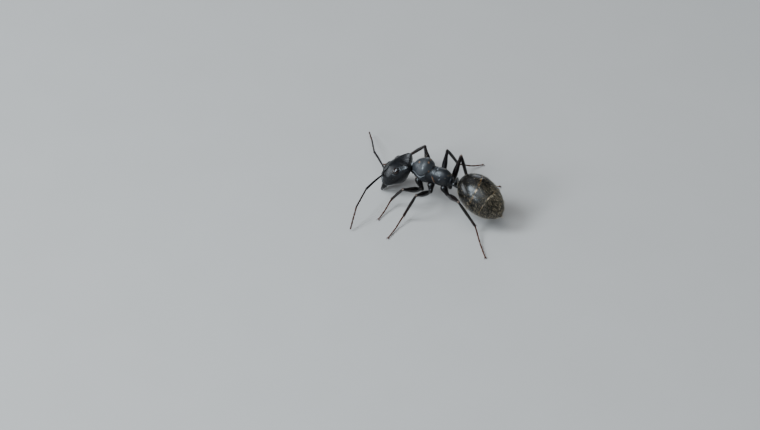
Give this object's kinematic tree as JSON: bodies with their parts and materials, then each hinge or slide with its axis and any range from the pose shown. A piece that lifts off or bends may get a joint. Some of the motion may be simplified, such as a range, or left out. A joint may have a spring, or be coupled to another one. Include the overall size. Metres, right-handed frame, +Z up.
{
  "type": "black carpenter ant model",
  "caption": "Life-size still model of a black carpenter ant worker, standing on its feet with its head lowered and its gaster hanging to one side.",
  "frame": {"origin": "on the floor, under the middle of the whole model's box", "axes": "+Z up; the ant faces -Y, so +Y is its rear; +X is its left side"},
  "size_m": [0.0142, 0.0158, 0.005],
  "materials": {
    "cuticle": "black ant cuticle, finely netted, with a soft polish",
    "dull_cuticle": "black ant cuticle, duller and blue-grey where light grazes it",
    "limb_cuticle": "brown-black limb cuticle, smooth and polished",
    "eye": "dark brown faceted compound eye",
    "gaster_cuticle": "black cuticle under fine golden hairs",
    "hair": "fine pale golden hair",
    "membrane": "tan joint membrane between plates"
  },
  "bodies": {
    "root": {"head_capsule": "cuticle", "eye_left": "eye", "eye_right": "eye", "mandible_left": "limb_cuticle", "mandible_right": "limb_cuticle", "neck": "limb_cuticle", "scape_left": "limb_cuticle", "funiculus_base_left": "limb_cuticle", "funiculus_tip_left": "limb_cuticle", "scape_right": "limb_cuticle", "funiculus_base_right": "limb_cuticle", "funiculus_tip_right": "limb_cuticle", "prothorax": "dull_cuticle", "mesothorax": "dull_cuticle", "propodeum": "dull_cuticle", "petiole": "cuticle", "gaster_first": "gaster_cuticle", "gaster_second": "gaster_cuticle", "gaster_third": "gaster_cuticle", "gaster_fourth": "gaster_cuticle", "gaster_tip": "gaster_cuticle", "coxa_left_front": "limb_cuticle", "femur_left_front": "limb_cuticle", "tibia_left_front": "limb_cuticle", "tarsus_left_front": "limb_cuticle", "coxa_left_middle": "limb_cuticle", "femur_left_middle": "limb_cuticle", "tibia_left_middle": "limb_cuticle", "tarsus_left_middle": "limb_cuticle", "coxa_left_hind": "limb_cuticle", "femur_left_hind": "limb_cuticle", "tibia_left_hind": "limb_cuticle", "tarsus_left_hind": "limb_cuticle", "coxa_right_front": "limb_cuticle", "femur_right_front": "limb_cuticle", "tibia_right_front": "limb_cuticle", "tarsus_right_front": "limb_cuticle", "coxa_right_middle": "limb_cuticle", "femur_right_middle": "limb_cuticle", "tibia_right_middle": "limb_cuticle", "tarsus_right_middle": "limb_cuticle", "coxa_right_hind": "limb_cuticle", "femur_right_hind": "limb_cuticle", "tibia_right_hind": "limb_cuticle", "tarsus_right_hind": "limb_cuticle"}
  },
  "joints": []
}
